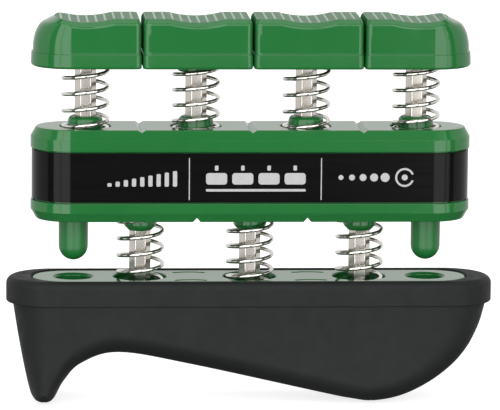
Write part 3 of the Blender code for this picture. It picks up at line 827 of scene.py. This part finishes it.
# The seats round the guide bosses: for finger springs in the roof and for palm springs in the floor.
FINGER_SEAT_R, FINGER_SEAT_FLOOR = 5.1 * MM, 53.8 * MM
PALM_SEAT_R, PALM_SEAT_MOUTH_R, PALM_SEAT_ROOF = 5.4 * MM, 5.55 * MM, 38.4 * MM
ROOF_BOSS_TOP = 57.4 * MM
FLOOR_BOSS_BOTTOM = 34.3 * MM
FLOOR_BOSS_R = 3.45 * MM
ROOF_NOTCH_DEPTH = 0.5 * MM
FLOOR_NOTCH_DEPTH = 0.92 * MM
GUIDE_PIN_BOTTOM, GUIDE_PIN_R, GUIDE_PIN_DRAFT = 28.3 * MM, 2.93 * MM, 0.04 * MM


def cavity(low, high):
    """The housing's inside between two heights."""
    profile = ((0.0, low), (0.0, high))
    return stadium_loft("cavity", HOUSING_HALF - SHELL_WALL, HOUSING_R - SHELL_WALL, profile)


def build_upper_shell():
    outside = filleted(
        (SHELL_SETBACK, SHELL_SPLIT + SPLIT_GAP, 0.0),
        (SHELL_SETBACK, LABEL_TOP, 0.0),
        (0.0, LABEL_TOP, LABEL_EDGE_R),
        (0.0, HOUSING_TOP - RIM_UP, RIM_LOWER_R),
        (RIM_IN, HOUSING_TOP, RIM_UPPER_R),
        (RIM_IN + FLAT_IN, HOUSING_TOP, 0.0),
        steps=6,
    )
    body = stadium_loft("housing_upper_moulding", HOUSING_HALF, HOUSING_R, outside, FINE_STEPS)
    inside = cavity(SHELL_SPLIT - MM, ROOF_UNDER)
    pegs = [turned("peg", ((PEG_R, PEG_BOTTOM), (PEG_R, ROOF_UNDER + MM)), x, 24) for x in PEG_X]
    seats = [cup("seat", FINGER_SEAT_R, FINGER_SEAT_FLOOR, HOUSING_TOP, 0.15 * MM, x) for x in FINGER_X]
    boss = filleted(
        (3.7 * MM, 53.0 * MM, 0.0),
        (3.42 * MM, ROOF_BOSS_TOP, 1.05 * MM),
        (2.2 * MM, ROOF_BOSS_TOP, 0.0),
        (ON_AXIS, ROOF_BOSS_TOP, 0.0),
        steps=6,
    )
    bosses = [turned("boss", boss, x, 64) for x in FINGER_X]
    guides = [guide_hole(ROOF_UNDER, ROOF_BOSS_TOP, x) for x in FINGER_X]
    notches = [notch(x, HOUSING_TOP, -ROOF_NOTCH_DEPTH) for x in NOTCH_X["upper"]]
    mesh = shaped(
        body,
        ("DIFFERENCE", [inside] + seats + notches),
        ("UNION", pegs + bosses),
        ("DIFFERENCE", guides),
    )
    node = "housing_upper_shell"
    piece("housing_upper_moulding", smooth(mesh), GREEN, "green_plastic", "housing", node)


def build_lower_shell():
    outside = filleted(
        (RIM_IN + FLAT_IN, HOUSING_BOTTOM, 0.0),
        (RIM_IN, HOUSING_BOTTOM, RIM_UPPER_R),
        (0.0, HOUSING_BOTTOM + RIM_UP, RIM_LOWER_R),
        (0.0, LABEL_BOTTOM, LABEL_EDGE_R),
        (SHELL_SETBACK, LABEL_BOTTOM, 0.0),
        (SHELL_SETBACK, SHELL_SPLIT - SPLIT_GAP, 0.0),
        steps=6,
    )
    body = stadium_loft("housing_lower_moulding", HOUSING_HALF, HOUSING_R, outside, FINE_STEPS)
    inside = cavity(FLOOR_OVER, SHELL_SPLIT + MM)
    tip = arc((0.0, GUIDE_PIN_BOTTOM + GUIDE_PIN_R), GUIDE_PIN_R, -89.9, 0, 14)
    root = (GUIDE_PIN_R + GUIDE_PIN_DRAFT, FLOOR_OVER - MM)
    pins = [turned("pin", [*tip, root], x, 56) for x in GUIDE_PIN_X]
    boss = filleted(
        (ON_AXIS, FLOOR_BOSS_BOTTOM, 0.0),
        (2.3 * MM, FLOOR_BOSS_BOTTOM, 0.5 * MM),
        (3.3 * MM, 35.35 * MM, 0.9 * MM),
        (FLOOR_BOSS_R, 37.4 * MM, 0.0),
        (FLOOR_BOSS_R, FLOOR_OVER - MM, 0.0),
        steps=6,
    )
    bosses = [turned("boss", boss, x, 64) for x in PALM_X]
    guides = [guide_hole(FLOOR_BOSS_BOTTOM, FLOOR_OVER, x) for x in PALM_X]
    notches = [notch(x, HOUSING_BOTTOM, FLOOR_NOTCH_DEPTH) for x in NOTCH_X["lower"]]
    seat = ((PALM_SEAT_MOUTH_R, HOUSING_BOTTOM - MM), (PALM_SEAT_R, PALM_SEAT_ROOF))
    seats = [turned("seat", seat, x) for x in PALM_X]
    socket = ((PEG_SOCKET_R, FLOOR_OVER - MM), (PEG_SOCKET_R, PEG_SOCKET_TOP))
    sockets = [turned("socket", socket, x, 32) for x in PEG_X]
    holes = [turned("hole", [(PEG_HOLE_R, z) for z in PEG_HOLE_SPAN], x, 24) for x in PEG_X]
    mesh = shaped(
        body,
        ("DIFFERENCE", [inside] + notches + seats),
        ("UNION", pins + bosses + sockets),
        ("DIFFERENCE", guides + holes),
    )
    mesh = smooth(mesh)
    node = "housing_lower_shell"
    piece("housing_lower_moulding", mesh, GREEN, "green_plastic", "housing", node)
    mesh.materials.append(GREEN_SATIN)
    pins_from_x = GUIDE_PIN_X[1] - GUIDE_PIN_R - MM
    for face in mesh.polygons:
        if face.center.z < HOUSING_BOTTOM - 0.1 * MM and abs(face.center.x) > pins_from_x:
            face.material_index = 1


LABEL_BACK = 0.23 * MM
LABEL_T = 0.27 * MM
LABEL_BEVEL = 0.06 * MM
LABEL_STEPS = 40
INK_HALF_T = 0.02 * MM


def build_label():
    low, high = span("label_band", 2)
    outside = (
        (LABEL_BACK + LABEL_BEVEL, low),
        (LABEL_BACK, low + LABEL_BEVEL),
        (LABEL_BACK, high - LABEL_BEVEL),
        (LABEL_BACK + LABEL_BEVEL, high),
    )
    hollow = [(LABEL_BACK + LABEL_T, z) for z in (low - MM, high + MM)]
    band = stadium_loft("label_film", HOUSING_HALF, HOUSING_R, outside, LABEL_STEPS)
    inside = stadium_loft("inside", HOUSING_HALF, HOUSING_R, hollow, LABEL_STEPS)
    mesh = shaped(band, ("DIFFERENCE", [inside]))
    piece("label_film", smooth(mesh), LABEL_FILM, "label_film", "housing", "label_band")


def ink_mesh(marks):
    """Printed marks on the label's front, each an outline of points (x, z), as one thin raised layer."""
    face = -(HOUSING_R - LABEL_BACK)
    bm = bmesh.new()
    for outline in marks:
        near = [bm.verts.new((x * MM, face - INK_HALF_T, z * MM)) for x, z in outline]
        far = [bm.verts.new((x * MM, face + INK_HALF_T, z * MM)) for x, z in outline]
        bm.faces.new(near)
        bm.faces.new(far)
        bridge(bm, (near, far))
    return tidy_mesh(bm, "label_print")


def bar_mark(left, right, low, high):
    """A bar with slightly rounded corners."""
    r = min(right - left, high - low) * 0.25
    centres = ((right - r, low + r), (right - r, high - r), (left + r, high - r), (left + r, low + r))
    points = []
    for corner, centre in enumerate(centres):
        points += arc(centre, r, 90 * corner - 90, 90 * corner, 4)
    return points


def ring_marks(x, z, outer, inner, start, end):
    """Part of a ring, as one outline."""
    return arc((x, z), outer, start, end, 24) + arc((x, z), inner, end, start, 24)


# The print's layout in millimetres: places along the label, and the height of its middle.
DIVIDERS = (-12.6, 13.6)
GAUGE_BARS, GAUGE_LEFT, GAUGE_PITCH = 9, -28.4, 1.62
BLOCKS, BLOCK_LEFT, BLOCK_PITCH = 4, -7.2, 5.2
DOTS, DOT_LEFT, DOT_PITCH = 5, 17.5, 2.2
TARGET, PRINT_MIDDLE = 30.2, 46.0


def label_marks():
    """Generic marks in place of print: rising bars, blocks over a line, and dots, between two dividers."""
    marks = [bar_mark(x - 0.1, x + 0.1, 41.5, 49.9) for x in DIVIDERS]
    for step in range(GAUGE_BARS):
        x = GAUGE_LEFT + GAUGE_PITCH * step
        marks.append(bar_mark(x - 0.42, x + 0.42, 44.2, 44.9 + 0.3 * step))
    for step in range(BLOCKS):
        x = BLOCK_LEFT + BLOCK_PITCH * step
        marks.append(bar_mark(x - 2.1, x + 2.1, 44.6, 46.9))
        marks.append(bar_mark(x - 0.35, x + 0.35, 47.4, 48.4))
    marks.append(bar_mark(-9.3, 10.5, 43.2, 43.7))
    for step in range(DOTS):
        marks.append(arc((DOT_LEFT + DOT_PITCH * step, PRINT_MIDDLE), 0.5 + 0.1 * step, 0, 345, 23))
    marks.append(ring_marks(TARGET, PRINT_MIDDLE, 1.9, 1.5, 20, 340))
    marks.append(arc((TARGET, PRINT_MIDDLE), 0.6, 0, 345, 23))
    return marks


def build_housing():
    build_upper_shell()
    build_lower_shell()
    build_label()
    piece("label_print", ink_mesh(label_marks()), LABEL_INK, None, "housing")


# ---- Palm bar ----

# The plate: a flange in the grip's top, with a core under it that fills the grip's inside.
PLATE_UNDER = 21.8 * MM
CORE_HALF, CORE_R, CORE_BOTTOM, CORE_CHAMFER = 41.0 * MM, 6.6 * MM, 13.5 * MM, 0.3 * MM
POCKET_R, POCKET_FLOOR = 5.3 * MM, 21.0 * MM
PIN_HOLE_R, PIN_HOLE_FLOOR = 3.7 * MM, 17.0 * MM
PALM_SOCKET_SPAN = (15.2 * MM, 22.0 * MM)
SLOT_X = (-12.0 * MM, 12.0 * MM)
SLOT_CENTRE_Y = (-11.8 * MM, -2.9 * MM)
SLOT_INNER_R, SLOT_OUTER_R, SLOT_TURN, SLOT_DEPTH = 6.8 * MM, 7.8 * MM, 26, 1.8 * MM


def slot_cutter(x, centre_y):
    """A narrow slot on an arc that bows to the back."""
    outline = []
    for radius, turn in ((SLOT_INNER_R, -SLOT_TURN), (SLOT_OUTER_R, SLOT_TURN)):
        outline += arc((0.0, centre_y), radius, 90 - turn, 90 + turn, 12)
    return lofted("slot", [(PLATE_TOP - SLOT_DEPTH, outline), (PLATE_TOP + MM, outline)], x)


def build_plate():
    profile = filleted(
        (2.0 * MM, PLATE_UNDER, 0.0),
        (0.0, PLATE_UNDER, 0.2 * MM),
        (0.0, PLATE_TOP, 0.35 * MM),
        (2.0 * MM, PLATE_TOP, 0.0),
    )
    flange = stadium_loft("palm_plate_moulding", PLATE_HALF, PLATE_R, profile, FINE_STEPS)
    core_profile = ((CORE_CHAMFER, CORE_BOTTOM), (0.0, CORE_BOTTOM + CORE_CHAMFER), (0.0, PLATE_UNDER + MM))
    core = stadium_loft("core", CORE_HALF, CORE_R, core_profile)
    pockets = [cup("pocket", POCKET_R, POCKET_FLOOR, PLATE_TOP, 0.2 * MM, x) for x in PALM_X]
    pin_holes = [cup("pin_hole", PIN_HOLE_R, PIN_HOLE_FLOOR, PLATE_TOP, 0.45 * MM, x) for x in GUIDE_PIN_X]
    slots = [slot_cutter(x, y) for x in SLOT_X for y in SLOT_CENTRE_Y]
    socket = [(z, hexagon(SOCKET_FLATS, 0.0)) for z in PALM_SOCKET_SPAN]
    sockets = [lofted("socket", socket, x) for x in PALM_X]
    mesh = shaped(
        flange,
        ("UNION", [core]),
        ("DIFFERENCE", pockets + pin_holes + slots),
        ("DIFFERENCE", sockets),
    )
    piece("palm_plate_moulding", smooth(mesh), GREEN, "green_plastic", "palm_bar", "palm_plate")


# How far in from the body's sides the rounding of its long edges reaches, at least.
EDGE_WIDTH = 6.6 * MM
# The side view of the underside, from the left end under the lip, round the toe, over the arch and
# the belly. Each point is its place along the bar, its height, and how deep its long edges' rounding is.
UNDERSIDE = tuple(
    (x * MM, z * MM, edge_depth * MM)
    for x, z, edge_depth in (
        (-47.6, 21.5, 8.2),
        (-46.2, 12.8, 7.4),
        (-44.4, 3.9, 3.6),
        (-43.3, 0.9, 2.3),
        (-41.8, 0.0, 2.2),
        (-40.6, 0.0, 2.2),
        (-39.1, 0.9, 2.3),
        (-37.1, 4.4, 3.0),
        (-33.6, 7.9, 4.0),
        (-26.2, 10.0, 4.5),
        (-11.7, 7.5, 4.5),
        (13.8, 1.8, 4.4),
        (20.2, 0.5, 4.2),
        (25.0, 0.0, 4.2),
        (31.0, 1.2, 4.6),
        (37.2, 4.4, 5.2),
        (42.3, 8.9, 6.0),
        (45.9, 14.8, 7.4),
        (47.9, 21.5, 8.2),
    )
)
UNDERSIDE_STEPS = 8
EDGE_STEPS = 9
BODY_R = 8.9 * MM
BODY_TOP = 21.5 * MM
LIP_UNDER = 20.1 * MM
# The room left in the grip round the plate, and the pocket for the plate's core.
PLATE_ROOM = 0.2 * MM
CORE_POCKET_HALF, CORE_POCKET_R, CORE_POCKET_SPAN = 41.3 * MM, 6.9 * MM, (13.2 * MM, 22.0 * MM)


def smooth_through(points, steps):
    """Points on a Catmull-Rom curve through the given points, steps to each span."""
    found = []
    for here in range(len(points) - 1):
        before = Vector(points[max(here - 1, 0)])
        start = Vector(points[here])
        end = Vector(points[here + 1])
        after = Vector(points[min(here + 2, len(points) - 1)])
        for step in range(steps):
            t = step / steps
            found.append(
                start
                + (end - before) * (t / 2)
                + (2 * before - 5 * start + 4 * end - after) * (t * t / 2)
                + (3 * start - before - 3 * end + after) * (t * t * t / 2)
            )
    found.append(Vector(points[-1]))
    return found


def grip_body():
    """The grip below its lip: a ribbon along the underside, curled up round each long edge to a flat side."""
    line = smooth_through(UNDERSIDE, UNDERSIDE_STEPS)
    bm = bmesh.new()
    rows = []
    for here, point in enumerate(line):
        along = line[min(here + 1, len(line) - 1)] - line[max(here - 1, 0)]
        inward = Vector((-along.y, along.x)).normalized()
        edge_depth = point.z
        edge_width = max(EDGE_WIDTH, edge_depth)
        row = []
        for side in (-1, 1):
            for step in range(EDGE_STEPS + 1):
                turn = math.pi / 2 * (step if side > 0 else EDGE_STEPS - step) / EDGE_STEPS
                rise = inward * edge_depth * (1 - math.cos(turn))
                y = side * (BODY_R - edge_width + edge_width * math.sin(turn))
                z = min(max(point.y, 0.0) + rise.y, BODY_TOP)
                row.append(bm.verts.new((point.x + rise.x, y, z)))
        rows.append(row)
    for row, after in zip(rows, rows[1:]):
        for left, right, far_left, far_right in zip(row, row[1:], after, after[1:]):
            bm.faces.new((left, right, far_right, far_left))
    bm.faces.new([row[0] for row in rows])
    bm.faces.new([row[-1] for row in rows])
    bm.faces.new(rows[0] + rows[-1][::-1])
    return tidy_mesh(bm, "palm_grip_rubber")


def build_grip():
    lip = filleted(
        (2.0 * MM, LIP_UNDER, 0.0),
        (0.0, LIP_UNDER, 0.25 * MM),
        (0.0, LIP_TOP, 1.5 * MM),
        (3.0 * MM, LIP_TOP, 0.0),
        steps=8,
    )
    plate_pocket = filleted(
        (2.0 * MM, BODY_TOP, 0.0),
        (0.0, BODY_TOP, 0.1 * MM),
        (0.0, LIP_TOP - 0.3 * MM, 0.2 * MM),
        (-0.3 * MM, LIP_TOP, 0.0),
        (-0.5 * MM, LIP_TOP + MM, 0.0),
    )
    half, radius = PLATE_HALF + PLATE_ROOM, PLATE_R + PLATE_ROOM
    core_pocket = [(0.0, z) for z in CORE_POCKET_SPAN]
    pockets = [
        stadium_loft("plate_pocket", half, radius, plate_pocket, FINE_STEPS),
        stadium_loft("core_pocket", CORE_POCKET_HALF, CORE_POCKET_R, core_pocket),
    ]
    mesh = shaped(
        grip_body(),
        ("UNION", [stadium_loft("lip", LIP_HALF, LIP_R, lip, FINE_STEPS)]),
        ("DIFFERENCE", pockets),
    )
    piece("palm_grip_rubber", smooth(mesh, angle=40), RUBBER, "black_rubber", "palm_bar", "palm_grip")


def build_palm_bar():
    build_plate()
    build_grip()
    for number in PALM_POSTS:
        build_post(f"palm_post_{number}", "palm_bar")
        build_spring(f"palm_spring_{number}", PALM_COILS[number - 1], "palm_bar")


def finish_washers():
    """The retaining washers keep their own meshes and take the nickel."""
    for name, node in frame["nodes"].items():
        if "_retainer_" in name:
            node.data.materials.clear()
            node.data.materials.append(BAR_NICKEL)


# ---- Studio ----

AIM = Vector((0.0, 0.0, 39.25 * MM))
CAMERA_DISTANCE = 898 * MM
CAMERA_ELEVATION = 9.1
CAMERA_AZIMUTH = -3.85
CAMERA_ROLL = 0.55
LENS = 323.3


def build_camera():
    data = bpy.data.cameras.new("camera")
    data.lens = LENS
    camera = bpy.data.objects.new("camera", data)
    bpy.context.scene.collection.objects.link(camera)
    elevation, azimuth = math.radians(CAMERA_ELEVATION), math.radians(CAMERA_AZIMUTH)
    level_part = math.cos(elevation)
    back = Vector((math.sin(azimuth) * level_part, -math.cos(azimuth) * level_part, math.sin(elevation)))
    camera.location = AIM + back * CAMERA_DISTANCE
    camera.rotation_mode = "QUATERNION"
    level = (-back).to_track_quat("-Z", "Y")
    camera.rotation_quaternion = level @ Quaternion((0.0, 0.0, 1.0), math.radians(CAMERA_ROLL))
    bpy.context.scene.camera = camera


# Studio cards: azimuth from and to (0 is the front, positive to the right), elevation from and to,
# and radiance. All angles are degrees.
CARDS = (
    (-52, -30.4, -32, 58, 2.5),
    (-28.8, -2.5, -32, 58, 2.5),
    (7.5, 41.8, -32, 46, 2.3),
    (44.2, 56, -32, 46, 1.8),
    (-4.0, 9.0, 16, 40, 2.2),
    (-4.0, 9.0, 0, 14, 1.1),
    (72, 181, -25, 42, 0.75),
    (-181, -72, -25, 42, 0.75),
)
# How far the cards fade on each side of their edges, in azimuth and elevation.
CARD_EDGES = (1.2, 6)
FILL = 0.13
TOP_FILL = 1.4
TOP_FILL_FROM, TOP_FILL_TO = 52, 70


def build_world():
    """Soft light from cards round the object. The camera itself sees plain white past the floor."""
    world = bpy.data.worlds.new("studio")
    bpy.context.scene.world = world
    world.use_nodes = True
    nodes, links = world.node_tree.nodes, world.node_tree.links
    nodes.clear()

    def sums(operation, first, second=None):
        node = nodes.new("ShaderNodeMath")
        node.operation = operation
        for socket, value in zip(node.inputs, (first, second)):
            if isinstance(value, (int, float)):
                socket.default_value = value
            elif value is not None:
                links.new(value, socket)
        return node.outputs["Value"]

    def ramp(value, start, end):
        node = nodes.new("ShaderNodeMapRange")
        node.interpolation_type = "SMOOTHSTEP"
        node.inputs["From Min"].default_value = start
        node.inputs["From Max"].default_value = end
        links.new(value, node.inputs["Value"])
        return node.outputs["Result"]

    def window(value, start, end, edge):
        opening = ramp(value, start - edge, start + edge)
        return sums("SUBTRACT", opening, ramp(value, end - edge, end + edge))

    direction = nodes.new("ShaderNodeSeparateXYZ")
    links.new(nodes.new("ShaderNodeTexCoord").outputs["Generated"], direction.inputs["Vector"])
    x, y, z = (direction.outputs[axis] for axis in "XYZ")
    azimuth = sums("DEGREES", sums("ARCTAN2", x, sums("MULTIPLY", y, -1.0)))
    elevation = sums("DEGREES", sums("ARCSINE", z))
    light = sums("ADD", sums("MULTIPLY", ramp(elevation, TOP_FILL_FROM, TOP_FILL_TO), TOP_FILL), FILL)
    for left, right, low, high, radiance in CARDS:
        across = window(azimuth, left, right, CARD_EDGES[0])
        upright = window(elevation, low, high, CARD_EDGES[1])
        card = sums("MULTIPLY", sums("MULTIPLY", across, upright), radiance)
        light = sums("ADD", card, light)
    lit = nodes.new("ShaderNodeBackground")
    links.new(light, lit.inputs["Strength"])
    plain = nodes.new("ShaderNodeBackground")
    for background in (lit, plain):
        background.inputs["Color"].default_value = (1.0, 1.0, 1.0, 1.0)
    choose = nodes.new("ShaderNodeMixShader")
    links.new(nodes.new("ShaderNodeLightPath").outputs["Is Camera Ray"], choose.inputs["Fac"])
    links.new(lit.outputs["Background"], choose.inputs[1])
    links.new(plain.outputs["Background"], choose.inputs[2])
    output = nodes.new("ShaderNodeOutputWorld")
    links.new(choose.outputs["Shader"], output.inputs["Surface"])


FLOOR_HALF = 4.0
FLOOR_DROP = 0.05 * MM
FLOOR_GREY = 0.5
FLOOR_GLOW = 0.78


def build_floor():
    """A pale floor, clear from below, that takes a faint shadow and doesn't light or mirror in the object."""
    mesh = bpy.data.meshes.new("floor")
    corners = [(FLOOR_HALF * x, FLOOR_HALF * y, 0) for x, y in ((-1, -1), (1, -1), (1, 1), (-1, 1))]
    mesh.from_pydata(corners, [], [(0, 1, 2, 3)])
    floor = in_scene("floor", mesh)
    floor.location.z = -FLOOR_DROP
    floor.visible_diffuse = False
    floor.visible_glossy = False
    floor.visible_shadow = False
    material = bpy.data.materials.new("floor")
    material.use_nodes = True
    nodes, links = material.node_tree.nodes, material.node_tree.links
    nodes.clear()
    matt = nodes.new("ShaderNodeBsdfDiffuse")
    matt.inputs["Color"].default_value = (FLOOR_GREY, FLOOR_GREY, FLOOR_GREY, 1.0)
    glow = nodes.new("ShaderNodeEmission")
    glow.inputs["Strength"].default_value = FLOOR_GLOW
    both = nodes.new("ShaderNodeAddShader")
    links.new(matt.outputs["BSDF"], both.inputs[0])
    links.new(glow.outputs["Emission"], both.inputs[1])
    clear = nodes.new("ShaderNodeBsdfTransparent")
    choose = nodes.new("ShaderNodeMixShader")
    links.new(nodes.new("ShaderNodeNewGeometry").outputs["Backfacing"], choose.inputs["Fac"])
    links.new(both.outputs["Shader"], choose.inputs[1])
    links.new(clear.outputs["BSDF"], choose.inputs[2])
    output = nodes.new("ShaderNodeOutputMaterial")
    links.new(choose.outputs["Shader"], output.inputs["Surface"])
    mesh.materials.append(material)


build_fingers()
build_housing()
build_palm_bar()
finish_washers()
build_camera()
build_world()
build_floor()
bpy.context.scene.view_settings.view_transform = "Standard"
